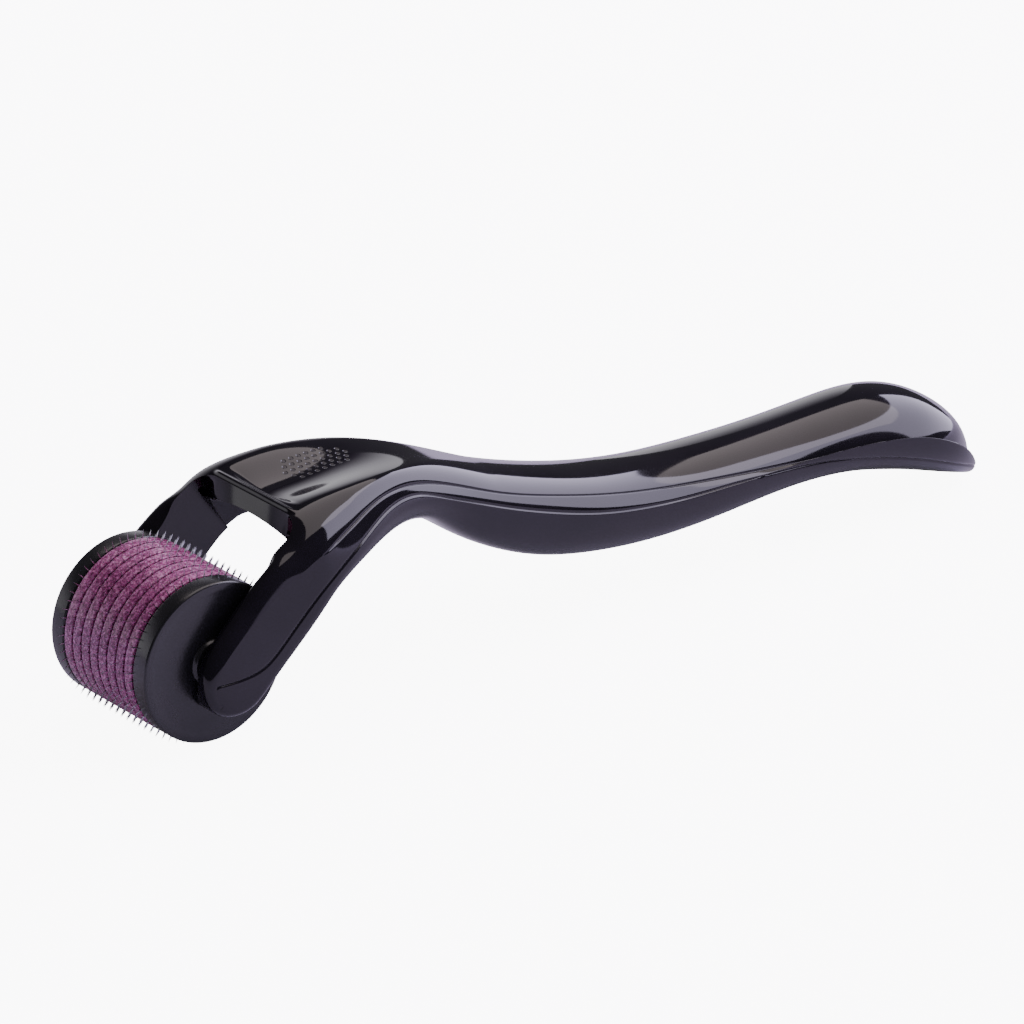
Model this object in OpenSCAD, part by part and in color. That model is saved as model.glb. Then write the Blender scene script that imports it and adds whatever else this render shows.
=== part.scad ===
/* Derma roller, millimetres.
   X runs from the roller to the tail, Y along the axle, Z up.
   The origin lies on the resting surface, straight under the middle of the axle. */

/* [Needle drum] */
// Diameter of the spacer rings and of the two end flanges
drum_diameter = 21; // [17:0.5:26]
// Length of each needle beyond the drum
needle_length = 1; // [0.4:0.1:2]
// Needle discs side by side
disc_count = 9; // [9]
// Needles on each disc
needles_per_disc = 60; // [36:6:72]
// Distance from one disc to the next
disc_pitch = 1.8; // [1.4:0.1:2.2]
// Thickness of a disc
disc_thickness = 0.2; // [0.1:0.05:0.3]
// Width of a needle at its root
needle_root_width = 0.32; // [0.2:0.02:0.4]
// How deep the needle roots sit below the surface of the drum
needle_root_depth = 0.4; // [0.2:0.1:0.8]
// Thickness of an end flange at its rim
flange_thickness = 2.6; // [1.8:0.1:3.4]
// Depth of the dish in the outer face of a flange
flange_dish_depth = 0.5; // [0.2:0.1:1]
// Width of the rim around that dish
flange_rim_width = 1.6; // [1:0.1:3]

/* [Drum core] */
// Diameter of the core that carries the discs
core_diameter = 8; // [6:0.5:10]
// Height of the three keys on the core
key_height = 0.6; // [0.4:0.1:1]
// Width of a key
key_width = 1.2; // [0.8:0.1:1.8]
// How far the core reaches into each flange
core_spigot_length = 1.4; // [1:0.1:1.6]

/* [Axle] */
// Diameter of the axle pin
axle_diameter = 2; // [1.5:0.1:3]
// Outer diameter of the bush in each arm tip
bush_diameter = 4; // [3.4:0.1:4.4]
// Length of that bush
bush_length = 2; // [1.6:0.1:2.4]

/* [Fork] */
// Thickness of each fork arm
arm_thickness = 3.4; // [3:0.1:4.2]
// Diameter of the round end of each arm
arm_tip_diameter = 10.4; // [9.6:0.2:13]
// How far the round end is centred behind the axle
arm_tip_setback = 1; // [0.8:0.1:1.4]
// How far the round end is centred below the axle
arm_tip_drop = 0.9; // [0.4:0.1:1.2]
// Depth of an arm halfway up
arm_depth = 9.6; // [8.6:0.2:12]
// Chamfer along the outer edges of the arms
arm_chamfer = 0.9; // [0.5:0.1:1.2]
// Gap between the needle tips and the lower edge of the bridge wall
bridge_gap = 4; // [3:0.5:7]
// Height of the bridge wall
bridge_height = 6; // [5:0.5:8]
// Depth of the saddle scooped out of the head
saddle_depth = 2.2; // [1:0.1:2.6]
// Width of the saddle
saddle_width = 15.6; // [13:0.2:17]
// Length of the saddle, from the lip back towards the neck
saddle_length = 17; // [14:0.5:19]
// Thickness of the lip left standing along the front of the saddle
lip_width = 1; // [0.8:0.1:1.4]

/* [Handle] */
// Distance from the axle to the tip of the tail
handle_length = 129; // [110:1:160]
// Width and height of the neck behind the head
neck_width = 16; // [13:0.5:20]
neck_height = 8.4; // [7.4:0.2:11]
// Width and height of the grip
grip_width = 16.4; // [13:0.2:20]
grip_height = 11; // [9:0.2:14]
// Width and height of the waist
waist_width = 13.2; // [11:0.2:16]
waist_height = 7; // [6:0.2:9]
// Width and height of the tail bulb
tail_width = 17.6; // [14:0.2:22]
tail_height = 10.6; // [8:0.2:13]
// Height of the middle of the grip, the waist and the tail bulb above the resting surface
grip_middle = 13.6; // [12:0.2:16]
waist_middle = 11.3; // [9:0.2:14]
tail_middle = 8.6; // [7.6:0.2:10]
// Wall of the two handle shells
shell_wall = 1.8; // [1.2:0.1:2.2]

/* [Fits] */
// Radial gap between the axle and the turning drum
running_gap = 0.05; // [0.03:0.01:0.1]
// Radial gap of parts that are pushed together
seat_gap = 0.03; // [0.02:0.01:0.05]
// Gap between a flange hub and the fork arm beside it
side_gap = 0.15; // [0.1:0.05:0.3]

/* [Hidden] */
$fn = 64;

// Drum, from the axle outwards and from the middle towards the arms
drum_radius = drum_diameter / 2;
tip_radius = drum_radius + needle_length;
axle_height = tip_radius;
stack_half = (disc_count - 1) / 2 * disc_pitch + disc_thickness / 2;
flange_face = stack_half + flange_thickness;
hub_height = 0.35;
hub_radius = 3;

// Fork
arm_inner = flange_face + hub_height + side_gap;
arm_outer = arm_inner + arm_thickness;
axle_half_length = arm_inner + bush_length;
bridge_angle = 38;              // where the bridge wall ends, seen from the axle
bridge_x = (tip_radius + bridge_gap) * cos(bridge_angle);
bridge_bottom = axle_height + (tip_radius + bridge_gap) * sin(bridge_angle);
bridge_top = bridge_bottom + bridge_height;
crest_top = bridge_top + 1.4;   // the two shoulders rise a little behind the lip

// Places along the handle
shoulder_x = bridge_x + 9;
neck_x = bridge_x + 22;
grip_x = neck_x + 0.27 * (handle_length - neck_x);
waist_x = neck_x + 0.63 * (handle_length - neck_x);
bulb_x = handle_length - 12;
head_half_width = arm_outer - 1;

// Each stop is [x, top, bottom, half width] of the cross-section there
STOPS = [
    [bridge_x, bridge_top, bridge_bottom, head_half_width],
    [bridge_x + 4, crest_top - 0.4, bridge_bottom - 0.3, head_half_width],
    [shoulder_x, crest_top, bridge_bottom - 0.6, head_half_width - 1.1],
    [shoulder_x + 7, crest_top - 0.4, neck_bottom() + 0.7, neck_width / 2 + 1.4],
    [neck_x, neck_bottom() + neck_height, neck_bottom(), neck_width / 2],
    [neck_x + 10, neck_bottom() + neck_height - 3.4, neck_bottom() - 5.9, neck_width / 2 - 0.3],
    [grip_x, grip_middle + grip_height / 2, grip_middle - grip_height / 2, grip_width / 2],
    [(grip_x + waist_x) / 2, level(grip_middle, waist_middle, 0.8) + level(grip_height, waist_height, 0.42) / 2,
        level(grip_middle, waist_middle, 0.8) - level(grip_height, waist_height, 0.42) / 2,
        level(grip_width, waist_width, 0.4) / 2],
    [waist_x, waist_middle + waist_height / 2, waist_middle - waist_height / 2, waist_width / 2],
    [(waist_x + bulb_x) / 2 + 2, level(waist_middle, tail_middle, 0.25) + level(waist_height, tail_height, 0.4) / 2,
        level(waist_middle, tail_middle, 0.25) - level(waist_height, tail_height, 0.4) / 2,
        level(waist_width, tail_width, 0.5) / 2],
    [bulb_x, tail_middle + tail_height / 2 + 0.6, tail_middle - tail_height / 2 + 0.6, tail_width / 2],
    [handle_length - 5.5, tail_middle + 3.4, 1.9, tail_width / 2 - 0.6],
    [handle_length - 2.5, tail_middle + 0.6, 0.9, tail_width / 2 - 2.4],
    [handle_length - 0.8, tail_middle - 2.8, 0.3, tail_width / 2 - 4.6],
    [handle_length, tail_middle - 6, 0, tail_width / 2 - 6.6]];
function neck_bottom() = bridge_bottom - 1.4;
function level(a, b, share) = a + (b - a) * share;

// A smooth curve through column c of the stops
function before(p, x, i = 0) = i >= len(p) - 2 || x < p[i + 1][0] ? i : before(p, x, i + 1);
function lean(p, i, c) =
    let (a = max(i - 1, 0), b = min(i + 1, len(p) - 1)) (p[b][c] - p[a][c]) / (p[b][0] - p[a][0]);
function along(p, x, c) =
    let (i = before(p, x), step = p[i + 1][0] - p[i][0], t = (x - p[i][0]) / step,
        from = lean(p, i, c) * step, to = lean(p, i + 1, c) * step)
    p[i][c] * (1 + 2 * t) * pow(1 - t, 2) + p[i + 1][c] * t * t * (3 - 2 * t)
        + from * t * pow(1 - t, 2) - to * t * t * (1 - t);

// Places of the cross-sections: this many from each stop to the next
SECTIONS_PER_STOP = 2;
function section_places(p) = [for (i = [0 : len(p) - 2], k = [0 : SECTIONS_PER_STOP - 1])
    level(p[i][0], p[i + 1][0], k / SECTIONS_PER_STOP), p[len(p) - 1][0]];

// Height of the parting line between the two shells: [x, z]
seam_drop = 1.4;                // the seam passes this far below the axle at the arm tips
SEAM = [
    [-arm_tip_diameter, axle_height - seam_drop],
    [0, axle_height - seam_drop],
    [5, axle_height - seam_drop + 1],
    [10, level(axle_height, bridge_bottom, 0.42)],
    [16, bridge_bottom + 0.2],
    [shoulder_x + 2, bridge_bottom + 2.4],
    [neck_x - 4, neck_bottom() + 0.6 * neck_height],
    [neck_x + 10, neck_bottom() - 5.9 + 0.66 * (neck_height + 2.5)],
    [grip_x, grip_middle + 0.09 * grip_height],
    [waist_x, waist_middle + 0.05 * waist_height],
    [bulb_x, tail_middle - 0.16 * tail_height],
    [handle_length + 10, -1]];
SEAM_STEPS = 40;

// Locating pegs inside the handle
PEG_PLACES = [neck_x - 2, grip_x, bulb_x - 2];
peg_radius = 1;
peg_length = 1.6;
post_radius = 2.2;

// ---------- handle ----------

// One thin slice of the handle at x, moved in from the outside by inset
slice = 0.02;
section_corners = 20;
module handle_slice(x, inset) {
    top = along(STOPS, x, 1) - inset;
    bottom = along(STOPS, x, 2) + inset;
    half_width = along(STOPS, x, 3) - inset;
    middle = (top + bottom) / 2;
    half_height = (top - bottom) / 2;
    translate([x, 0, 0]) rotate([90, 0, 90]) linear_extrude(slice)
        polygon([for (k = [0 : section_corners - 1])
            let (a = 360 * (k + 0.5) / section_corners, c = cos(a), s = sin(a))
            [half_width * sign(c) * pow(abs(c), 0.75), middle + half_height * sign(s) * pow(abs(s), 0.75)]]);
}

module handle_sweep(places, inset) {
    for (i = [0 : len(places) - 2])
        hull() {
            handle_slice(places[i], inset);
            handle_slice(places[i + 1], inset);
        }
}

// Round plate lying across Y at [x, z], with its outer edge chamfered
module arm_plate(at, radius, inner, outer) {
    translate([at[0], inner, at[1]]) rotate([-90, 0, 0]) {
        cylinder(r = radius, h = outer - inner - arm_chamfer, $fn = 32);
        cylinder(r = radius - arm_chamfer, h = outer - inner, $fn = 32);
    }
}

// One arm at +Y: from the round tip, up the lean, into the shoulder and the side of the neck
module arm() {
    tip = [arm_tip_setback, axle_height - arm_tip_drop];
    top = [bridge_x + 1.3, bridge_bottom + 0.2];
    middle = (tip + top) / 2;
    end = [shoulder_x + 0.5, bridge_bottom + bridge_height / 2];
    hull() {
        arm_plate(tip, arm_tip_diameter / 2, arm_inner, arm_outer);
        arm_plate(middle, arm_depth / 2, arm_inner, arm_outer);
    }
    hull() {
        arm_plate(middle, arm_depth / 2, arm_inner, arm_outer);
        arm_plate(top, arm_depth / 2 - 0.4, arm_inner - 1, arm_outer);
    }
    hull() {
        arm_plate(top, arm_depth / 2 - 0.4, arm_inner - 1, arm_outer);
        arm_plate(end, bridge_height / 2, arm_inner - 4, arm_outer - 1.8);
    }
    hull() {
        arm_plate(end, bridge_height / 2, arm_inner - 4, arm_outer - 1.8);
        arm_plate([neck_x - 1, end[1] - 0.8], neck_height / 4, 1, neck_width / 2 - 0.2);
    }
}

module both_sides() {
    children();
    mirror([0, 1, 0]) children();
}

module handle_outside() {
    difference() {
        union() {
            handle_sweep(section_places(STOPS), 0);
            both_sides() arm();
        }
        // room for the turning drum between the arms
        rotate([90, 0, 0]) translate([0, axle_height, -arm_inner])
            cylinder(r = tip_radius + bridge_gap / 2, h = 2 * arm_inner);
        // saddle between the shoulders, cut square behind the lip
        intersection() {
            saddle(0);
            translate([bridge_x + lip_width, -saddle_width, bridge_bottom])
                cube([saddle_length, 2 * saddle_width, 2 * bridge_height]);
        }
    }
}

module saddle(extra) {
    translate([bridge_x + lip_width, 0, crest_top + 0.3])
        scale([saddle_length + extra, saddle_width / 2 + extra, saddle_depth + 0.3 + extra])
            sphere(r = 1, $fn = 32);
}

module handle_cavity() {
    first = bridge_x + shell_wall;
    last = handle_length - 6;
    inner_places = [first, for (x = section_places(STOPS)) if (x > first && x < last) x, last];
    difference() {
        handle_sweep(inner_places, shell_wall);
        saddle(shell_wall);
    }
}

// Everything below the parting line
module below_seam() {
    rotate([90, 0, 0]) linear_extrude(4 * arm_outer, center = true)
        polygon(concat(
            [for (k = [0 : SEAM_STEPS])
                let (x = level(SEAM[0][0], SEAM[len(SEAM) - 1][0], k / SEAM_STEPS))
                [x, along(SEAM, x, 1)]],
            [[handle_length + 10, -20], [-arm_tip_diameter, -20]]));
}

module posts() {
    for (x = PEG_PLACES)
        translate([x, 0, 0]) cylinder(r = post_radius, h = 2 * crest_top, $fn = 24);
}

module pegs(extra) {
    for (x = PEG_PLACES)
        translate([x, 0, along(SEAM, x, 1) - peg_length - extra])
            cylinder(r = peg_radius + extra, h = peg_length + extra + 1, $fn = 24);
}

module bush_pockets() {
    rotate([90, 0, 0]) translate([0, axle_height, -axle_half_length - seat_gap])
        cylinder(r = bush_diameter / 2 + seat_gap, h = 2 * (axle_half_length + seat_gap), $fn = 48);
}

module handle_half() {
    difference() {
        handle_outside();
        difference() {
            handle_cavity();
            posts();
        }
        bush_pockets();
    }
}

module handle_top_shell() {
    color([0.07, 0.06, 0.08]) union() {
        difference() {
            handle_half();
            below_seam();
        }
        intersection() {
            handle_outside();
            pegs(0);
        }
    }
}

module handle_bottom_shell() {
    color([0.16, 0.14, 0.18]) difference() {
        intersection() {
            handle_half();
            below_seam();
        }
        pegs(2 * seat_gap);
    }
}

// ---------- axle ----------

// Turns what is drawn along Z from z = 0 to lie along +Y, starting at y
module across(y) {
    translate([0, y, axle_height]) rotate([-90, 0, 0]) children();
}

module axle() {
    color([0.75, 0.76, 0.78]) across(-axle_half_length)
        cylinder(d = axle_diameter, h = 2 * axle_half_length);
}

module axle_bush() {
    color([0.85, 0.85, 0.82]) across(arm_inner) difference() {
        cylinder(d = bush_diameter, h = bush_length);
        translate([0, 0, -1]) cylinder(d = axle_diameter + 2 * seat_gap, h = bush_length + 2);
    }
}

// ---------- drum ----------

module keys(extra) {
    for (k = [0 : 2])
        rotate(120 * k) translate([0, -key_width / 2 - extra])
            square([core_diameter / 2 + key_height + extra, key_width + 2 * extra]);
}

module core_outline(extra) {
    circle(d = core_diameter + 2 * extra);
    keys(extra);
}

module drum_core() {
    color([0.55, 0.22, 0.45]) difference() {
        union() {
            across(-stack_half) linear_extrude(2 * stack_half) core_outline(0);
            across(-stack_half - core_spigot_length)
                cylinder(d = core_diameter, h = 2 * (stack_half + core_spigot_length));
        }
        across(-flange_face)
            cylinder(d = axle_diameter + 2 * running_gap, h = 2 * flange_face);
    }
}

// Flange at +Y: dished disc with a hub, seated on the end of the core
module flange() {
    color([0.10, 0.10, 0.12]) difference() {
        union() {
            across(stack_half) cylinder(r = drum_radius, h = flange_thickness);
            across(stack_half) cylinder(r = hub_radius, h = flange_thickness + hub_height);
        }
        across(flange_face - flange_dish_depth) difference() {
            cylinder(r = drum_radius - flange_rim_width, h = flange_dish_depth + 1);
            translate([0, 0, -1]) cylinder(r = hub_radius, h = flange_dish_depth + 3);
        }
        across(stack_half - 1) cylinder(d = core_diameter + 2 * seat_gap, h = core_spigot_length + 1);
        across(stack_half) cylinder(d = axle_diameter + 2 * running_gap, h = flange_thickness + 2);
    }
}

// Star outline: a straight root between needles, then one sharp needle
function star_points(root, tip, needles, root_width) =
    let (half = atan(root_width / 2 / root))
    [for (k = [0 : needles - 1], m = [0 : 2])
        let (a = 360 * k / needles + (m - 1) * half, r = m == 1 ? tip : root) [r * cos(a), r * sin(a)]];

module needle_disc(number) {
    y = (number - (disc_count + 1) / 2) * disc_pitch - disc_thickness / 2;
    color([0.78, 0.79, 0.82]) across(y) linear_extrude(disc_thickness) difference() {
        // every second disc is turned half a needle, so the needles stand in a staggered pattern
        rotate(number % 2 * 180 / needles_per_disc)
            polygon(star_points(drum_radius - needle_root_depth, tip_radius, needles_per_disc,
                needle_root_width));
        core_outline(seat_gap);
    }
}

module spacer_ring(number) {
    y = (number - (disc_count + 1) / 2) * disc_pitch + disc_thickness / 2;
    color([0.62, 0.28, 0.52]) across(y)
        linear_extrude(disc_pitch - disc_thickness) difference() {
            circle(r = drum_radius);
            core_outline(seat_gap);
        }
}

handle_top_shell();
handle_bottom_shell();
axle();
mirror([0, 1, 0]) axle_bush();  // axle_bush_left
axle_bush();  // axle_bush_right
drum_core();
mirror([0, 1, 0]) flange();  // flange_left
flange();  // flange_right
needle_disc(1);  // needle_disc_1
needle_disc(2);  // needle_disc_2
needle_disc(3);  // needle_disc_3
needle_disc(4);  // needle_disc_4
needle_disc(5);  // needle_disc_5
needle_disc(6);  // needle_disc_6
needle_disc(7);  // needle_disc_7
needle_disc(8);  // needle_disc_8
needle_disc(9);  // needle_disc_9
spacer_ring(1);  // spacer_ring_1
spacer_ring(2);  // spacer_ring_2
spacer_ring(3);  // spacer_ring_3
spacer_ring(4);  // spacer_ring_4
spacer_ring(5);  // spacer_ring_5
spacer_ring(6);  // spacer_ring_6
spacer_ring(7);  // spacer_ring_7
spacer_ring(8);  // spacer_ring_8
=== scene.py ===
import math

import bpy
import bmesh
import numpy as np
from mathutils import Matrix, Vector


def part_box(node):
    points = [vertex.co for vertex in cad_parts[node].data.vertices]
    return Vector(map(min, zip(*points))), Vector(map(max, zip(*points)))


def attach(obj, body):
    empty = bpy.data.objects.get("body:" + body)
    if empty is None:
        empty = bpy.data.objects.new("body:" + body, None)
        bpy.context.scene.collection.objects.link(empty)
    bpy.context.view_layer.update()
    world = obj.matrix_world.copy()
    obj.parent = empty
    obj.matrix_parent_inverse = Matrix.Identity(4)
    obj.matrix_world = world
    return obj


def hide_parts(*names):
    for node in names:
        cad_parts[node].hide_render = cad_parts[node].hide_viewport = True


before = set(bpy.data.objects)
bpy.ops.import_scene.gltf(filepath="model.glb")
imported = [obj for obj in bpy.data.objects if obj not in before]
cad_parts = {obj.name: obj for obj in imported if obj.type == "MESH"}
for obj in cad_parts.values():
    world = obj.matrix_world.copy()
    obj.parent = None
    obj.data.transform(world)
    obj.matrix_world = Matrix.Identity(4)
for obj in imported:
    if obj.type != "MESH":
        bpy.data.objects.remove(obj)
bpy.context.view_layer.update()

MM = 0.001

# ---------------------------------------------------------------- sizes read from the frame, in millimetres


def node_box(node):
    """Low and high corner of a CAD node, in millimetres."""
    low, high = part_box(node)
    return np.array(low) / MM, np.array(high) / MM


axle_low, axle_high = node_box("axle")
ring_low, ring_high = node_box("spacer_ring_1")

AXLE_Z = (axle_low[2] + axle_high[2]) / 2
ARM_INNER = node_box("axle_bush_right")[0][1]
DRUM_RADIUS = (ring_high[2] - ring_low[2]) / 2
RING_WIDTH = ring_high[1] - ring_low[1]
FLANGE_INNER = node_box("flange_right")[0][1]
DISCS = sum(name.startswith("needle_disc_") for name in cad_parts)

# ---------------------------------------------------------------- curves


def spline(*stops):
    """Natural cubic spline through stops (s, value, ...): slope and curvature are equal where its pieces meet,
    and the curvature is zero at both ends. Returns a function of s."""
    s = np.array([stop[0] for stop in stops], float)
    v = np.array([stop[1:] for stop in stops], float)
    gap = np.diff(s)
    system = np.eye(len(s))
    right = np.zeros_like(v)
    inner = np.arange(1, len(s) - 1)
    system[inner, inner - 1] = gap[:-1]
    system[inner, inner] = 2 * (gap[:-1] + gap[1:])
    system[inner, inner + 1] = gap[1:]
    slope = np.diff(v, axis=0) / gap[:, None]
    right[1:-1] = 3 * np.diff(slope, axis=0)
    bend = np.linalg.solve(system, right)
    cubic = np.diff(bend, axis=0) / (3 * gap[:, None])
    first = slope - gap[:, None] * (2 * bend[:-1] + bend[1:]) / 3

    def at(x):
        x = np.asarray(x, float)
        i = np.clip(np.searchsorted(s, x) - 1, 0, len(s) - 2)
        t = (np.clip(x, s[0], s[-1]) - s[i])[..., None]
        value = v[i] + t * (first[i] + t * (bend[i] + t * cubic[i]))
        return value[..., 0] if value.shape[-1] == 1 else value

    return at


def smooth(t):
    """0 below 0, 1 above 1, and 3t^2 - 2t^3 between."""
    t = np.clip(t, 0, 1)
    return t * t * (3 - 2 * t)


def cosine_steps(n):
    """n values from 0 to 1 that stand closer together at both ends."""
    return (1 - np.cos(np.linspace(0, np.pi, n))) / 2


# ---------------------------------------------------------------- the handle's lines
# s is the distance along the handle's top line, from the round end of an arm at 0 to the tail at TAIL_S.
# Negative s fans round the arm's end. x and z are millimetres in the frame.

TAIL_S = 149.0
FAN = 8.0
LIP_S = 20.0
TURN_RADIUS = 3.2

top_line = spline(
    (0, -1.8, 13.5), (6, 2.4, 17.7), (12, 6.8, 21.9), (16, 9.9, 24.6), (20, 13.0, 27.0),
    (26, 19.0, 28.4), (32, 25.0, 28.5), (38, 31.0, 27.9), (46, 38.6, 26.1), (56, 47.9, 22.5),
    (65, 56.3, 19.6), (74, 65.0, 17.3), (83, 74.0, 15.9), (93, 84.0, 15.4), (105, 96.0, 15.5),
    (115, 105.4, 15.9), (122, 111.6, 15.9), (128, 116.9, 14.9), (133, 120.8, 13.0), (138, 124.4, 9.9),
    (142, 126.5, 6.5), (146, 127.6, 3.0), (149, 127.9, 0.3))
bottom_line = spline(
    (0, 4.9, 6.7), (6, 8.3, 10.1), (12, 11.9, 13.6), (16, 14.3, 15.9), (20, 16.7, 17.8),
    (26, 21.5, 19.6), (32, 26.6, 20.3), (38, 31.2, 20.2), (46, 36.9, 18.4), (56, 44.2, 13.5),
    (65, 53.2, 9.0), (74, 62.6, 6.7), (83, 72.5, 5.8), (93, 83.4, 6.2), (105, 95.5, 7.2),
    (115, 105.0, 6.8), (122, 110.4, 5.7), (128, 114.7, 4.6), (133, 118.3, 3.5), (138, 121.9, 2.3),
    (142, 124.7, 1.4), (146, 126.8, 0.7), (149, 127.9, 0.2))
half_width = spline(
    (-8, 13.5), (0, 13.7), (12, 13.7), (20, 13.6), (26, 12.45), (32, 10.45), (38, 8.75), (46, 7.5),
    (56, 7.3), (65, 7.4), (74, 7.45), (83, 7.3), (93, 7.3), (105, 7.3), (115, 7.8), (122, 8.2),
    (128, 8.4), (133, 8.2), (138, 7.2), (142, 5.7), (146, 3.4), (149, 0.0))
# Crease along the outer edge of the top: distance from the middle plane, and drop below the top line
crease = spline(
    (-8, 13.45, -1.2), (-3, 13.45, -1.15), (2, 13.4, -1.1), (6, 13.35, -1.35), (11, 13.3, -2.1),
    (16, 13.3, -3.2), (20, 13.2, -4.05), (26, 11.9, -3.5), (32, 9.9, -2.2), (38, 8.1, -1.75),
    (46, 6.7, -2.1), (56, 6.4, -2.25), (65, 6.3, -1.95), (74, 6.2, -1.75), (83, 6.1, -1.85),
    (93, 6.4, -2.35), (105, 6.9, -3.3), (115, 7.5, -4.0), (122, 7.9, -4.4), (128, 8.1, -4.5),
    (133, 7.8, -4.3), (138, 6.8, -3.6), (142, 5.2, -2.6), (146, 2.9, -1.3), (149, 0, 0))
# How much of the drop is kept for the last part before the crease
shoulder = spline(
    (0, 0.8), (16, 0.75), (26, 0.3), (38, 0.25), (56, 0.3), (93, 0.35), (115, 0.45), (149, 0.4))
crest_distance = spline((0, 7.8), (30, 7.8), (38, 6.2), (46, 3.2), (56, 0.0))
saddle_depth = spline((16, 1.0), (20, 1.1), (24, 1.5), (30, 1.3), (36, 0.6), (42, 0.1), (46, 0.0))
# Underside between the arms: a recess that climbs from the bottom line to the foot of the lip wall
recess_line = spline(
    (20.6, 12.3, 25.0), (24, 15.3, 23.4), (28, 20.0, 21.4), (32, 25.4, 20.4), (36, 29.7, 20.3))
# Lower edge of the side: where the rounding ends, and how high it starts above the bottom line
round_end = spline(
    (-8, 12.2), (0, 12.3), (20, 12.0), (26, 9.5), (32, 6.0), (38, 3.0), (46, 0.8), (56, 0.0),
    (149, 0.0))
round_share = spline((-8, 0.135), (0, 0.135), (20, 0.18), (32, 0.35), (46, 0.5), (56, 0.55), (149, 0.55))
seam_height = spline(
    (-12, 10.1), (-4, 10.1), (2, 10.1), (5.6, 11.2), (8, 13.2), (14, 18.8), (20, 22.4), (29.5, 25.0),
    (34, 24.2), (38, 22.5), (42, 20.8), (48, 18.4), (55, 16.0), (62, 14.1), (69, 12.9), (76, 12.3),
    (84, 12.2), (92, 11.9), (100, 11.2), (106, 10.0), (112, 8.5), (118, 6.4), (124, 3.9), (130, 1.2))


def outward(line, s, side):
    """Unit normal of a line in the XZ plane: its direction turned a quarter, times side."""
    step = 0.05
    along = line(np.minimum(s + step, TAIL_S)) - line(np.maximum(s - step, 0))
    along /= np.linalg.norm(along, axis=-1, keepdims=True)
    return side * np.stack([-along[..., 1], along[..., 0]], -1)


def outline(s):
    """Top and bottom points of the side view and their outward normals. Below s = 0 both run round half an
    ellipse about the middle of the arm's end."""
    sc = np.maximum(s, 0)
    top, bottom = top_line(sc), bottom_line(sc)
    top_n, bottom_n = outward(top_line, sc, 1), outward(bottom_line, sc, -1)
    start, foot = top_line(0.0), bottom_line(0.0)
    middle, half = (start + foot) / 2, np.linalg.norm(start - foot) / 2
    up = (start - foot) / (2 * half)
    ahead = np.array([up[1], -up[0]])
    reach = 5.3
    turn = np.clip(1 + s / FAN, 0, 1)[..., None] * np.pi / 2
    fan = (s < 0)[..., None]
    c, sn = np.cos(turn), np.sin(turn)

    def unit(v):
        return v / np.linalg.norm(v, axis=-1, keepdims=True)

    top = np.where(fan, middle - reach * c * ahead + half * sn * up, top)
    bottom = np.where(fan, middle - reach * c * ahead - half * sn * up, bottom)
    top_n = np.where(fan, unit(-c * ahead / reach + sn * up / half), top_n)
    bottom_n = np.where(fan, unit(-c * ahead / reach - sn * up / half), bottom_n)
    return top, bottom, top_n, bottom_n


def spatial(xz, y):
    """Joins XZ pairs and Y distances into points."""
    return np.stack([xz[..., 0], np.broadcast_to(y, xz.shape[:-1]), xz[..., 1]], -1)


def top_point(s, y):
    """Point of the top at (s, y). Inside the crest the saddle dips by depth times (1 - (y/crest)^2)^2 behind a
    raised lip; outside it the top falls to the crease by the square and the sixth power of the way there. On
    the arms it swells in the middle by 1 - (2t - 1)^2 and has a flat bevel at the inner edge; round their ends
    the fall is a superellipse quarter, as on the underside."""
    top, _, normal, _ = outline(s)
    edge = crease(s)
    crest = np.where(s < 56, np.clip(crest_distance(s), 0.01, 8), 0.01)
    behind = s - LIP_S
    dip = saddle_depth(s) * (1 - np.clip(y / crest, 0, 1) ** 2) ** 2 * smooth((behind - 1.1) / 1.2)
    lip = 0.35 * np.exp(-((behind - 0.55) / 0.32) ** 2) * smooth((8.2 - y) / 0.8)
    on_arm = smooth((LIP_S - 3 - s) / 4)
    start = crest * (1 - on_arm) + ARM_INNER * on_arm
    way = np.clip((y - start) / (edge[..., 0] - start + 1e-6), 0, 1)
    share = shoulder(np.maximum(s, 0))
    fall = edge[..., 1] * (way ** 2 * (1 - share) + way ** 6 * share)
    tip = np.clip((y - 12.2) / (edge[..., 0] - 12.2), 0, 1)
    fall = fall + (edge[..., 1] * (1 - (1 - tip ** 2.44) ** 0.41) - fall) * smooth(-s / 5)
    bevel = 0.75 * np.clip((ARM_INNER + 0.9 - y) / 0.9, 0, 1) * smooth((15 - s) / 4) * smooth((s + 7) / 4)
    swell = 0.9 * smooth((20 - s) / 13) * (1 - (2 * way - 1) ** 2) * smooth((s + 6) / 8)
    return spatial(top + normal * (fall - dip - bevel + lip + swell)[..., None], y)


def bottom_point(s, y, deep):
    """Point of the underside at (s, y): the bottom line, or the recess between the arms, which is arched."""
    _, bottom, _, _ = outline(s)
    recess = recess_line(np.clip(s, 20.6, 36))
    recess[..., 1] -= 1.2 * (np.minimum(y, 9.7) / 9.7) ** 2 * smooth((30 - s) / 8)
    share = smooth((10.8 - y) / 1.1) * deep * smooth((36 - s) / 8)
    return spatial(bottom + (recess - bottom) * share[..., None], y)


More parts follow.
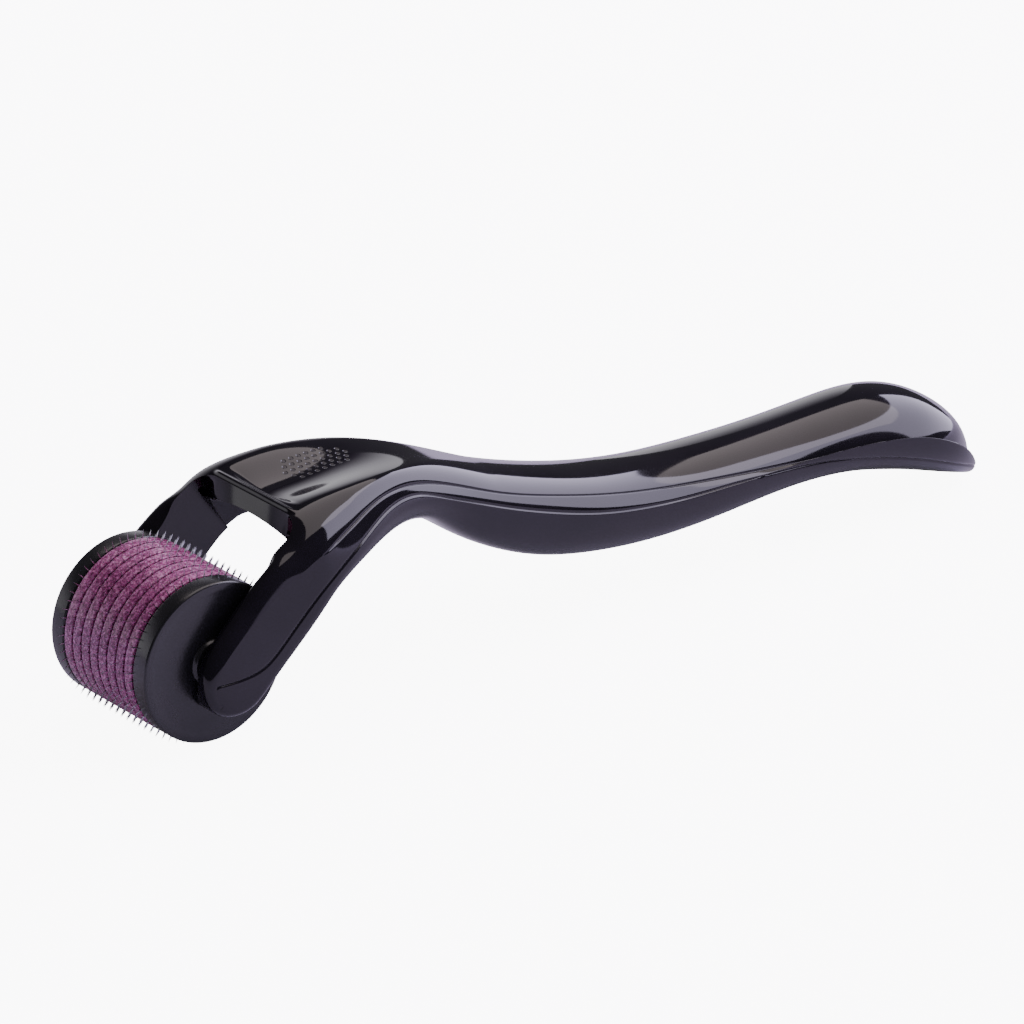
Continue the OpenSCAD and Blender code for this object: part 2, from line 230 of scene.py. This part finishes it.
def handle_rows():
    """Rows of the handle's grid: s at the outer side, s at the inner edge of the top and of the bottom, the
    inner edge's distance from the middle plane, and how deep the recess is. The inner edge runs up the arm,
    turns through a quarter circle, crosses along the lip to the middle plane and then follows the outer side."""
    fan = -FAN + FAN * cosine_steps(25)[:-1]
    turn_s = LIP_S - TURN_RADIUS
    arm = np.linspace(0, turn_s, 32)
    arm_foot = arm + 3.6 * smooth(arm / turn_s) ** 2
    turn = np.linspace(0, np.pi / 2, 20)[1:]
    turn_y = ARM_INNER - TURN_RADIUS * (1 - np.cos(turn))
    turn_top = turn_s + TURN_RADIUS * np.sin(turn)
    turn_foot = np.linspace(arm_foot[-1], 20.6, len(turn) + 1)[1:]
    wall_y = np.linspace(ARM_INNER - TURN_RADIUS, 0, 24)[1:]
    behind_top = np.concatenate([LIP_S + 3.2 * np.linspace(0, 1, 33)[1:] ** 1.3,
                                 np.arange(LIP_S + 3.6, TAIL_S - 20, 0.7)])
    tail = TAIL_S - 20 + 20 * np.sin(np.linspace(0, np.pi / 2, 44))
    behind_top = np.concatenate([behind_top[behind_top < tail[0] - 0.3], tail])
    wall_outer = LIP_S + 3.0 * np.linspace(0, 1, len(wall_y) + 1)[1:]
    behind_outer = np.minimum(behind_top + 3.0 * (1 - smooth((behind_top - LIP_S) / 14)), TAIL_S)
    behind_foot = behind_top + 0.6 * (1 - smooth((behind_top - LIP_S) / 14))
    outer = np.concatenate([fan, arm, turn_top, wall_outer, behind_outer])
    inner_top = np.concatenate([fan, arm, turn_top, np.full(len(wall_y), LIP_S), behind_top])
    inner_foot = np.concatenate([fan, arm_foot, turn_foot, np.full(len(wall_y), 20.6), behind_foot])
    on_arm = len(fan) + len(arm)
    inner_y = np.concatenate([np.full(on_arm, ARM_INNER), turn_y, wall_y, np.zeros(len(behind_top))])
    last_wall = on_arm + len(turn) + len(wall_y) - 1
    deep = np.concatenate([np.zeros(on_arm), smooth(turn / (np.pi / 2)),
                           np.ones(len(wall_y) + len(behind_top))])
    return outer, inner_top, inner_foot, inner_y, deep, last_wall


def side_curve(s, n):
    """n points per row from the crease down the side, round the lower edge and in to where the rounding ends.
    The side bulges as a quarter sine; the rounding is a superellipse quarter."""
    top, bottom, top_n, bottom_n = outline(s)
    edge, wide, end = crease(s), half_width(s), round_end(s)
    end = np.clip(end, 0, wide)
    height = np.linalg.norm(top - bottom, axis=-1)
    low = np.where(s < 0, 1.3, round_share(s) * height)
    start = top + top_n * edge[:, 1:2]
    foot = bottom - bottom_n * low[:, None]
    t = np.linspace(0, 1, n // 2)[None, :, None]
    side_xz = start[:, None] * (1 - t) + foot[:, None] * t
    side_y = edge[:, 0][:, None] + (wide - edge[:, 0])[:, None] * np.sin(t[..., 0] * np.pi / 2)
    a = np.linspace(0, np.pi / 2, n - n // 2 + 1)[None, 1:]
    power = 0.82
    corner_xz = bottom[:, None] - bottom_n[:, None] * (low[:, None] * (1 - np.sin(a) ** power))[..., None]
    corner_y = end[:, None] + (wide - end)[:, None] * np.cos(a) ** power
    return np.concatenate([spatial(side_xz, side_y), spatial(corner_xz, corner_y)], 1)


def resample(rows, place):
    """Reads each row of points at fractional column places, by straight lines between columns."""
    i = np.clip(np.floor(place).astype(int), 0, rows.shape[1] - 2)
    t = (place - i)[..., None]
    a = np.take_along_axis(rows, i[..., None], 1)
    b = np.take_along_axis(rows, i[..., None] + 1, 1)
    return a * (1 - t) + b * t


def handle_grid():
    """The half of the handle at y > 0 as one grid, and the columns where its panels start. Around each row:
    up the inner side, across the top to the crease, down the side to the seam, round the lower edge, and in
    along the underside."""
    s, s_top, s_foot, y_in, deep, last_wall = handle_rows()
    n_in, n_top, n_up, n_low = 14, 56, 26, 40
    edge = crease(s)
    # top
    f = cosine_steps(n_top)[None]
    st = s_top[:, None] + (s - s_top)[:, None] * smooth(f)
    yt = y_in[:, None] + (np.maximum(edge[:, 0] - y_in, 0))[:, None] * f
    top = top_point(st, yt)
    # side, cut at the seam
    dense = side_curve(s, 240)
    above = dense[..., 2] - seam_height(dense[..., 0])
    first = np.argmax(above < 0, 1)
    first = np.where(above.min(1) < 0, first, dense.shape[1] - 6)
    before = np.maximum(first - 1, 0)
    ra = np.take_along_axis(above, before[:, None], 1)[:, 0]
    rb = np.take_along_axis(above, first[:, None], 1)[:, 0]
    cut = np.where(first > 0, before + np.clip(ra / (ra - rb + 1e-9), 0, 1), 0.0)
    upper = resample(dense, cut[:, None] * cosine_steps(n_up)[None, 1:])
    below = (dense.shape[1] - 1 - cut)[:, None]
    lower = resample(dense, cut[:, None] + below * cosine_steps(n_low)[None, 1:])
    # underside: out to the recess, up its side, and in across it
    y0 = lower[:, -1, 1][:, None]
    y1 = np.maximum(np.minimum(10.9, y0), y_in[:, None])
    y2 = np.maximum(y1 - np.minimum(1.3, y1 / 3), y_in[:, None])
    parts = ((y0, y1, 4), (y1, y2, 14), (y2, y_in[:, None], 12))
    yu = np.concatenate([a + (b - a) * np.linspace(0, 1, n + 1)[None, 1:] for a, b, n in parts], 1)
    way = smooth((y0 - yu) / np.maximum(y0 - y1, 0.3))
    su = s[:, None] + (s_foot - s)[:, None] * way
    under = bottom_point(su, yu, deep[:, None])
    # inner side: the arm's flat face, then the lip wall
    foot = under[:, -1]
    f = cosine_steps(n_in)[None, :-1, None]
    inner = foot[:, None] * (1 - f) + top[:, :1] * f
    grid = np.concatenate([inner, top, upper, lower, under], 1)
    columns = np.cumsum([0, n_in - 1, n_top, n_up - 1, n_low - 1])
    first_above = int(np.argmax((cut > 0.5) & (s > -FAN + 0.01)))
    return grid, columns, first_above, last_wall


def rounded(grid, columns, last_wall, passes=2):
    """Softens every edge along the rows: each point moves to a quarter, a half and a quarter of its
    neighbours, closed round the arms and open on the single handle."""
    for _ in range(passes):
        closed = grid[:last_wall]
        grid[:last_wall] = (np.roll(closed, 1, 1) + 2 * closed + np.roll(closed, -1, 1)) / 4
        start = columns[1]
        rest = grid[last_wall:, start:]
        rest[:, 1:-1] = (rest[:, :-2] + 2 * rest[:, 1:-1] + rest[:, 2:]) / 4
    return grid


def close_tip(grid, columns):
    """Lays the lower half of the first row on its upper half, so the arm's end closes: x and z of each lower
    point are read from the upper half at the same distance from the middle plane."""
    upper, lower = grid[0, columns[1]:columns[2]], grid[0, columns[2]:]
    order = np.argsort(upper[:, 1])
    for axis in (0, 2):
        lower[:, axis] = np.interp(lower[:, 1], upper[order, 1], upper[order, axis])
    return grid


def groove(grid, column, depth, reach):
    """Presses a groove along a column: depth times exp(-(distance / reach)^2), in millimetres."""
    d_row = np.gradient(grid, axis=0)
    d_col = np.gradient(grid, axis=1)
    normal = np.cross(d_row, d_col)
    normal /= np.linalg.norm(normal, axis=-1, keepdims=True) + 1e-9
    away = np.linalg.norm(grid - grid[:, column:column + 1], axis=-1)
    near = np.abs(np.arange(grid.shape[1]) - column) < 12
    return grid - normal * (depth * np.exp(-(away / reach) ** 2) * near)[..., None]


def piece_from_grid(name, grid, blocks, material, body, stands_for):
    """A piece from blocks of the half grid (first row, last row, first column, last column) and their mirror
    image, joined where they touch."""
    rows, cols = grid.shape[:2]
    number = np.arange(rows * cols).reshape(rows, cols)
    quads = []
    for r0, r1, c0, c1 in blocks:
        n = number[r0:r1 + 1, c0:c1 + 1]
        quads.append(np.stack([n[:-1, :-1], n[1:, :-1], n[1:, 1:], n[:-1, 1:]], -1).reshape(-1, 4))
    quads = np.concatenate(quads)
    points = grid.reshape(-1, 3) * MM
    mirrored = points * [1, -1, 1]
    faces = np.concatenate([quads, quads[:, ::-1] + len(points)])
    points = np.concatenate([points, mirrored])
    used, faces = np.unique(faces, return_inverse=True)
    mesh = bpy.data.meshes.new(name)
    mesh.from_pydata(points[used].tolist(), [], faces.reshape(-1, 4).tolist())
    bm = bmesh.new()
    bm.from_mesh(mesh)
    bmesh.ops.remove_doubles(bm, verts=bm.verts, dist=0.004 * MM)
    bmesh.ops.dissolve_degenerate(bm, edges=bm.edges, dist=0.002 * MM)
    bm.to_mesh(mesh)
    bm.free()
    return finish_piece(name, mesh, material, body, stands_for)


def finish_piece(name, mesh, material, body, stands_for=()):
    """Links a mesh as a smooth-shaded piece that rides on a body and stands for CAD nodes."""
    piece = bpy.data.objects.new(name, mesh)
    bpy.context.scene.collection.objects.link(piece)
    mesh.polygons.foreach_set("use_smooth", np.ones(len(mesh.polygons), bool))
    mesh.materials.append(material)
    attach(piece, body)
    if stands_for:
        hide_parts(*stands_for)
    return piece


# ---------------------------------------------------------------- shader maths


class Sock:
    """A value socket whose operators add Math nodes."""

    def __init__(self, tree, socket):
        self.tree, self.socket = tree, socket

    def math(self, operation, *others):
        return self.tree.node("ShaderNodeMath", {"operation": operation}, [self, *others])

    def __add__(self, other): return self.math("ADD", other)
    def __radd__(self, other): return self.math("ADD", other)
    def __mul__(self, other): return self.math("MULTIPLY", other)
    def __rmul__(self, other): return self.math("MULTIPLY", other)
    def __sub__(self, other): return self.math("SUBTRACT", other)
    def __rsub__(self, other): return (self * -1) + other


class Tree:
    """A material's node tree."""

    def __init__(self, name):
        self.material = bpy.data.materials.new(name)
        self.material.use_nodes = True
        self.nodes = self.material.node_tree.nodes
        self.links = self.material.node_tree.links
        self.shader = self.nodes["Principled BSDF"]

    def node(self, kind, settings=None, inputs=(), output=0):
        """Adds a node: settings first, then values or links for its sockets, by place or by name."""
        made = self.nodes.new(kind)
        for key, value in (settings or {}).items():
            if key == "stops":
                ramp = made.color_ramp
                while len(ramp.elements) < len(value):
                    ramp.elements.new(0.5)
                for element, (place, color) in zip(ramp.elements, value):
                    element.position = place
                    element.color = (*color, 1)
            else:
                setattr(made, key, value)
        pairs = inputs.items() if isinstance(inputs, dict) else enumerate(inputs)
        for key, value in pairs:
            self.plug(made.inputs[key], value)
        return Sock(self, made.outputs[output])

    def plug(self, socket, value):
        if isinstance(value, Sock):
            self.links.new(value.socket, socket)
        else:
            socket.default_value = value

    def set(self, **values):
        """Sets or links sockets of the Principled shader; an underscore stands for a blank."""
        for key, value in values.items():
            self.plug(self.shader.inputs[key.replace("_", " ")], value)

    def place(self):
        return self.node("ShaderNodeTexCoord", output="Object")

    def noise(self, scale, detail=3.0, roughness=0.5):
        return self.node("ShaderNodeTexNoise", {}, {"Vector": self.place(), "Scale": scale, "Detail": detail,
                                                    "Roughness": roughness})

    def ramp(self, value, *stops):
        return self.node("ShaderNodeValToRGB", {"stops": stops}, [value])

    def mix(self, share, first, second):
        """Blends two colours."""
        made = self.nodes.new("ShaderNodeMix")
        made.data_type = "RGBA"
        for name, value in (("Factor_Float", share), ("A_Color", first), ("B_Color", second)):
            self.plug(next(i for i in made.inputs if i.identifier == name), value)
        return Sock(self, next(o for o in made.outputs if o.identifier == "Result_Color"))

    def between(self, value, low, high):
        """Maps 0..1 to low..high."""
        return value * (high - low) + low

    def bump(self, height, strength, distance):
        return self.node("ShaderNodeBump", {}, {"Strength": strength, "Distance": distance, "Height": height})


def dimples(t):
    """1 inside small round dimples on the head, 0 outside: staggered rows of dots, kept where the middle of
    their cell lies inside an ellipse."""
    pitch, rise = 1.15 * MM, 1.15 * MM * 0.866
    x, y, z = (t.node("ShaderNodeSeparateXYZ", {}, [t.place()], output=k) for k in range(3))
    v = y * (1 / rise)
    row = v.math("FLOOR")
    odd = (row * 0.5).math("FRACT")
    u = x * (1 / pitch) + odd
    across, along = u.math("FRACT") - 0.5, (v.math("FRACT") - 0.5) * 0.866
    far = (across * across + along * along).math("SQRT")
    cell_x = (u.math("FLOOR") + 0.5 - odd) * (pitch / (4.9 * MM)) - 24.6 / 4.9
    cell_y = (row + 0.5) * (rise / (2.9 * MM)) - 2.4 / 2.9
    inside = (cell_x * cell_x + cell_y * cell_y).math("LESS_THAN", 1.0) * z.math("GREATER_THAN", 23.5 * MM)
    return t.node("ShaderNodeMapRange", {}, [far, 0.20, 0.29, 1.0, 0.0]) * inside


def glossy_black():
    """Moulded black plastic: mirror gloss, faint waves from the mould, fine haze that differs from place to
    place, and the head's dimples."""
    t = Tree("black_plastic")
    haze = t.noise(90.0, 4.0, 0.6)
    waves = t.noise(140.0, 2.0)
    grain = t.noise(2600.0, 2.0)
    dots = dimples(t)
    t.set(Base_Color=t.ramp(haze, (0.3, (0.006, 0.005, 0.008)), (0.7, (0.011, 0.009, 0.014))),
          Roughness=t.between(haze, 0.04, 0.09) + dots * 0.3,
          IOR=1.43,
          Normal=t.bump(waves * 0.1 + grain * 0.01 - dots * 3.0, 0.45, 0.00005))
    return t.material


def flange_black():
    """Satin black plastic of the flanges, with faint turning marks."""
    t = Tree("black_flange_plastic")
    haze = t.noise(160.0, 4.0, 0.6)
    t.set(Base_Color=t.ramp(haze, (0.3, (0.010, 0.010, 0.012)), (0.7, (0.018, 0.018, 0.021))),
          Roughness=t.between(haze, 0.16, 0.28),
          Normal=t.bump(t.noise(3000.0, 2.0), 0.15, 0.00004))
    return t.material


def magenta_plastic():
    """Translucent magenta plastic with a dense light speckle and cloudy depth."""
    t = Tree("magenta_plastic")
    speckle = t.noise(2300.0, 4.0, 0.75)
    cloud = t.noise(260.0, 3.0)
    tint = t.ramp(cloud * 0.15 + speckle * 0.85, (0.38, (0.10, 0.012, 0.062)), (0.50, (0.34, 0.070, 0.225)),
                  (0.62, (0.68, 0.30, 0.53)))
    t.set(Base_Color=tint, Roughness=t.between(cloud, 0.18, 0.32), IOR=1.49,
          Normal=t.bump(speckle, 0.25, 0.00005))
    t.shader.inputs["Subsurface Weight"].default_value = 0.35
    t.shader.inputs["Subsurface Radius"].default_value = (0.002, 0.0006, 0.0014)
    t.shader.inputs["Subsurface Scale"].default_value = 1.0
    return t.material


def needle_steel():
    """Etched thin steel sheet with cloudy grain, bright on the needles; painted shade makes it near black in the
    slots between the rings.
    """
    t = Tree("needle_steel")
    grain = t.noise(2400.0, 3.0)
    x, z = (t.node("ShaderNodeSeparateXYZ", {}, [t.place()], output=k) for k in (0, 2))
    z = z - AXLE_Z * MM
    radius = (x * x + z * z).math("SQRT")
    bright = t.ramp(grain, (0.3, (0.50, 0.51, 0.54)), (0.7, (0.78, 0.79, 0.82)))
    # Painted shade: the sheet is near black inside the drum's radius, where it sits in the shaded slots between
    # the rings; the radius mask fades it to bright steel on the needles.
    painted_slot_shade = t.ramp(grain, (0.3, (0.010, 0.009, 0.010)), (0.7, (0.030, 0.026, 0.030)))
    out = t.node("ShaderNodeMapRange", {}, [radius, (DRUM_RADIUS - 0.2) * MM, (DRUM_RADIUS + 0.1) * MM])
    t.set(Base_Color=t.mix(out, painted_slot_shade, bright),
          Roughness=t.between(grain, 0.18, 0.34), Metallic=1.0,
          Normal=t.bump(grain, 0.2, 0.00003))
    return t.material


def ground_steel():
    """Ground axle steel, with fine rings from grinding."""
    t = Tree("steel")
    rings = t.node("ShaderNodeTexWave", {"bands_direction": "Y"}, {"Vector": t.place(), "Scale": 1800.0})
    t.set(Base_Color=t.ramp(rings, (0.0, (0.48, 0.49, 0.51)), (1.0, (0.62, 0.63, 0.65))),
          Roughness=t.between(rings, 0.2, 0.3), Metallic=1.0)
    return t.material


def white_nylon():
    """Moulded white nylon of the bushes."""
    t = Tree("white_nylon")
    grain = t.noise(1200.0, 3.0)
    t.set(Base_Color=t.ramp(grain, (0.3, (0.62, 0.62, 0.58)), (0.7, (0.72, 0.72, 0.69))),
          Roughness=t.between(grain, 0.45, 0.6), Normal=t.bump(grain, 0.2, 0.00004))
    return t.material


BLACK, FLANGE, MAGENTA = glossy_black(), flange_black(), magenta_plastic()
NEEDLE, STEEL, NYLON = needle_steel(), ground_steel(), white_nylon()

# ---------------------------------------------------------------- handle

grid, columns, first_above, last_wall = handle_grid()
grid = close_tip(rounded(close_tip(grid, columns), columns, last_wall), columns)
top_col, crease_col, seam_col = int(columns[1]), int(columns[2]) - 1, int(columns[3]) - 1
after = np.arange(grid.shape[0])[:, None]
grid = groove(grid, seam_col, 0.14 * smooth((after - first_above + 2) / 2), 0.16)
on_grip = smooth((grid[..., 0] - 13) / 5) * smooth((100 - grid[..., 0]) / 12)
grid = groove(grid, crease_col, 0.13 * on_grip, 0.13)
last_row, last_col = grid.shape[0] - 1, grid.shape[1] - 1

piece_from_grid(
    "handle_upper", grid,
    [(0, last_wall, 0, top_col), (first_above, last_row, top_col, seam_col)],
    BLACK, "handle", ["handle_top_shell"])
closed_grid = np.concatenate([grid, grid[:, :1]], 1)
piece_from_grid(
    "handle_lower", closed_grid,
    [(0, first_above, top_col, seam_col), (0, last_wall, seam_col, last_col + 1),
     (last_wall, last_row, seam_col, last_col)],
    BLACK, "handle", ["handle_bottom_shell"])

# ---------------------------------------------------------------- drum


def outward_mesh(name, points, faces):
    """A mesh from points in millimetres, with its faces turned outward."""
    mesh = bpy.data.meshes.new(name)
    mesh.from_pydata((points * MM).tolist(), [], faces.tolist())
    bm = bmesh.new()
    bm.from_mesh(mesh)
    bmesh.ops.recalc_face_normals(bm, faces=bm.faces)
    bm.to_mesh(mesh)
    bm.free()
    return mesh


def ring_quads(around, across, start=0):
    """Quads of a grid that closes both ways: around sections, each of across points, numbered from start."""
    n = start + np.arange(around * across).reshape(around, across)
    ahead, over = np.roll(n, -1, 0), np.roll(n, -1, 1)
    return np.stack([n, over, np.roll(ahead, -1, 1), ahead], -1).reshape(-1, 4)


def lathe(name, profile, y_start, side, material, body, stands_for, segments=160):
    """Turns a closed profile of (distance along the axle, radius) round the axle: each point goes round a
    circle of its radius. side is +1 or -1 along Y."""
    profile = np.array(profile, float)
    a = np.linspace(0, 2 * np.pi, segments, endpoint=False)[:, None]
    y = np.broadcast_to(side * (y_start + profile[:, 0]), (segments, len(profile)))
    points = np.stack([profile[:, 1] * np.cos(a), y, AXLE_Z + profile[:, 1] * np.sin(a)], -1).reshape(-1, 3)
    mesh = outward_mesh(name, points, ring_quads(segments, len(profile)))
    return finish_piece(name, mesh, material, body, stands_for)


def arc_corner(y, r, radius, start, end, n=6):
    """Points on a circle about (y, r) from start to end degrees, in profile coordinates."""
    a = np.radians(np.linspace(start, end, n))
    return [(y + radius * math.cos(k), r + radius * math.sin(k)) for k in a]


BORE_RADIUS = 4.3
RING_GAP, RING_EDGE, RING_CROWN = 0.06, 0.12, 0.02
ring_profile = (
    [(RING_GAP, BORE_RADIUS)]
    + arc_corner(RING_GAP + RING_EDGE, DRUM_RADIUS - RING_EDGE, RING_EDGE, 180, 90)
    + [(RING_WIDTH * share, DRUM_RADIUS + RING_CROWN) for share in (0.35, 0.65)]
    + arc_corner(RING_WIDTH - RING_GAP - RING_EDGE, DRUM_RADIUS - RING_EDGE, RING_EDGE, 90, 0)
    + [(RING_WIDTH - RING_GAP, BORE_RADIUS)])
for number in range(1, DISCS):
    node = f"spacer_ring_{number}"
    lathe(f"magenta_ring_{number}", ring_profile, node_box(node)[0][1], 1, MAGENTA, "roller", [node])

NEEDLES = 60
NEEDLE_HALF_WIDTH, NEEDLE_HALF_THICKNESS = 0.10, 0.08
SHEET_HALF_THICKNESS = 0.1
SHEET_SEGMENTS = 180


def needle_disc(number):
    """Thin steel disc with needles round it. The sheet is two flat faces and a rim; each needle is a
    square-based spike whose half width falls from root to tip as 1 - 0.96 t^1.4, by 5 steps of t. Every other
    disc is turned by half the spacing."""
    node = f"needle_disc_{number}"
    low, high = node_box(node)
    y = (low[1] + high[1]) / 2
    root, tip = DRUM_RADIUS - 0.45, high[2] - AXLE_Z
    around = np.radians(360 / NEEDLES) * (np.arange(NEEDLES) + (0.5 if number % 2 else 0))
    t = np.array([0, 0.3, 0.6, 0.85, 1.0])
    half = NEEDLE_HALF_WIDTH * (1 - 0.96 * t ** 1.4)
    corner = np.radians([45, 135, 225, 315])
    across = half[:, None] * np.sqrt(2) * np.cos(corner)
    along = np.minimum(half, NEEDLE_HALF_THICKNESS)[:, None] * np.sqrt(2) * np.sin(corner)
    radius = (root - 0.1 + (tip - root + 0.1) * t)[:, None] + 0 * across
    c, n = np.cos(around)[:, None, None], np.sin(around)[:, None, None]
    spikes = np.stack([radius * c - across * n, y + along + 0 * c, AXLE_Z + radius * n + across * c], -1)
    index = np.arange(len(t) * 4).reshape(len(t), 4)
    turned = np.roll(index, -1, 1)
    quads = np.stack([index[:-1], turned[:-1], turned[1:], index[1:]], -1).reshape(-1, 4)
    quads = np.concatenate([quads, index[-1:], index[:1, ::-1]])
    quads = (quads[None] + len(t) * 4 * np.arange(NEEDLES)[:, None, None]).reshape(-1, 4)
    spikes = spikes.reshape(-1, 3)
    a = np.linspace(0, 2 * np.pi, SHEET_SEGMENTS, endpoint=False)[:, None]
    side = SHEET_HALF_THICKNESS
    profile = np.array([(-side, BORE_RADIUS), (-side, root), (side, root), (side, BORE_RADIUS)])
    sheet = np.stack([profile[:, 1] * np.cos(a), y + profile[:, 0] + 0 * a,
                      AXLE_Z + profile[:, 1] * np.sin(a)], -1)
    points = np.concatenate([spikes, sheet.reshape(-1, 3)])
    faces = np.concatenate([quads, ring_quads(SHEET_SEGMENTS, len(profile), len(spikes))])
    mesh = outward_mesh(f"needles_{number}", points, faces)
    finish_piece(f"needles_{number}", mesh, NEEDLE, "roller", [node])
    mesh.polygons.foreach_set("use_smooth", np.zeros(len(mesh.polygons), bool))


for number in range(1, DISCS + 1):
    needle_disc(number)

FLANGE_WIDTH, FLANGE_RIM, FLANGE_EDGE = 2.6, 0.3, 0.25
HUB_RADIUS, HUB_BORE, HUB_END = 3.0, 1.3, FLANGE_WIDTH + 0.35
dish = FLANGE_WIDTH - 0.14
flange_profile = (
    [(0, HUB_BORE)]
    + arc_corner(FLANGE_EDGE, DRUM_RADIUS - FLANGE_EDGE, FLANGE_EDGE, 180, 90)
    + arc_corner(FLANGE_WIDTH - FLANGE_RIM, DRUM_RADIUS - FLANGE_RIM, FLANGE_RIM, 90, 0, 9)
    + [(FLANGE_WIDTH, DRUM_RADIUS - 0.9), (FLANGE_WIDTH - 0.04, DRUM_RADIUS - 1.2),
       (dish, DRUM_RADIUS - 2.0), (dish, HUB_RADIUS + 0.4), (dish + 0.05, HUB_RADIUS + 0.1),
       (HUB_END - 0.15, HUB_RADIUS), (HUB_END - 0.02, HUB_RADIUS - 0.15), (HUB_END, HUB_RADIUS - 0.4),
       (HUB_END, HUB_BORE)])
for side, place in ((1, "right"), (-1, "left")):
    lathe(f"drum_flange_{place}", flange_profile, FLANGE_INNER, side, FLANGE, "roller", [f"flange_{place}"])

for node, material in (("axle", STEEL), ("axle_bush_left", NYLON), ("axle_bush_right", NYLON),
                       ("drum_core", MAGENTA)):
    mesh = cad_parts[node].data
    mesh.materials.clear()
    mesh.materials.append(material)

# ---------------------------------------------------------------- studio


def plane(name, centre, size, facing, material):
    """Flat rectangle about centre that faces a direction."""
    mesh = bpy.data.meshes.new(name)
    w, h = size[0] / 2, size[1] / 2
    turn = Vector(facing).to_track_quat("Z", "Y").to_matrix()
    corners = [turn @ Vector(c) + Vector(centre) for c in ((-w, -h, 0), (w, -h, 0), (w, h, 0), (-w, h, 0))]
    mesh.from_pydata([tuple(c) for c in corners], [], [(0, 1, 2, 3)])
    made = bpy.data.objects.new(name, mesh)
    bpy.context.scene.collection.objects.link(made)
    mesh.materials.append(material)
    return made


FLOOR_Z = -0.0001
CARD_HEIGHT = 0.95


def floor_material():
    """Pale matt floor that looks almost white to the camera and is darker in reflections."""
    t = Tree("pale_floor")
    cloud = t.noise(3.0)
    t.set(Base_Color=t.ramp(cloud, (0.0, (0.69, 0.64, 0.82)), (1.0, (0.71, 0.66, 0.84))), Roughness=0.9)
    t.shader.inputs["Specular IOR Level"].default_value = 0.1
    seen = t.node("ShaderNodeLightPath", {}, [])
    t.set(Emission_Color=t.mix(seen, (0.008, 0.008, 0.008, 1), (1, 1, 1, 1)))
    t.shader.inputs["Emission Strength"].default_value = 9.0
    return t.material


def card_material():
    """Lit card that fades out towards its upper edge."""
    t = Tree("lit_card")
    z = t.node("ShaderNodeSeparateXYZ", {}, [t.place()], output=2)
    share = t.node("ShaderNodeMapRange", {}, [z, 0.0, CARD_HEIGHT])
    t.set(Base_Color=(0, 0, 0, 1), Roughness=1.0,
          Emission_Color=t.ramp(share, (0.0, (0.97, 0.95, 1.0)), (0.35, (0.80, 0.77, 0.84)),
                                (0.8, (0.10, 0.09, 0.11)), (1.0, (0.0, 0.0, 0.0))))
    t.shader.inputs["Emission Strength"].default_value = 1.5
    return t.material


plane("floor", (0, 0, FLOOR_Z), (8, 8), (0, 0, 1), floor_material())


def softbox(name, direction, distance, long_way, size, radiance, color):
    """Rectangular area light at a distance along a direction from the middle of the object. Its first side runs
    along long_way, and its power is radiance times pi times its area."""
    away = Vector(direction).normalized()
    u = Vector(long_way).normalized()
    z = (away - u * away.dot(u)).normalized()
    data = bpy.data.lights.new(name, "AREA")
    data.shape = "RECTANGLE"
    data.size, data.size_y = size
    data.energy = radiance * math.pi * size[0] * size[1]
    data.color = color
    made = bpy.data.objects.new(name, data)
    bpy.context.scene.collection.objects.link(made)
    place = Matrix((u, z.cross(u), z)).transposed().to_4x4()
    place.translation = MIDDLE + away * distance
    made.matrix_world = place
    return made


MIDDLE = Vector((0.06, 0, 0.015))
LAVENDER, WARM = (0.82, 0.76, 1.0), (1.0, 0.88, 0.88)
softbox("right_lavender", (0.83, -0.22, 0.46), 0.98, (0.1, 1, -0.42), (1.4, 0.78), 6.2, LAVENDER)
softbox("overhead_warm", (0.38, 0.02, 0.80), 0.9, (1, 0, 0), (0.92, 1.36), 2.2, WARM)
plane("back_card", (-0.25, 1.25, CARD_HEIGHT / 2), (2.7, CARD_HEIGHT), (0, -1, 0), card_material())

world = bpy.data.worlds.new("studio")
world.use_nodes = True
world.node_tree.nodes["Background"].inputs["Color"].default_value = (0.95, 0.95, 1.0, 1)
world.node_tree.nodes["Background"].inputs["Strength"].default_value = 0.08
bpy.context.scene.world = world

# ---------------------------------------------------------------- camera

AZIMUTH, ELEVATION = math.radians(-37.8), math.radians(23.45)
AIM = Vector((0.0536, 0.0, 0.0139))
DISTANCE = 1.1614
forward = Vector((-math.sin(AZIMUTH) * math.cos(ELEVATION), math.cos(AZIMUTH) * math.cos(ELEVATION),
                  -math.sin(ELEVATION)))
camera_data = bpy.data.cameras.new("camera")
camera_data.sensor_width = 36
camera_data.lens = 324.1
camera_data.clip_end = 50
camera = bpy.data.objects.new("camera", camera_data)
camera.location = AIM - forward * DISTANCE
camera.rotation_euler = forward.to_track_quat("-Z", "Y").to_euler()
bpy.context.scene.collection.objects.link(camera)
bpy.context.scene.camera = camera
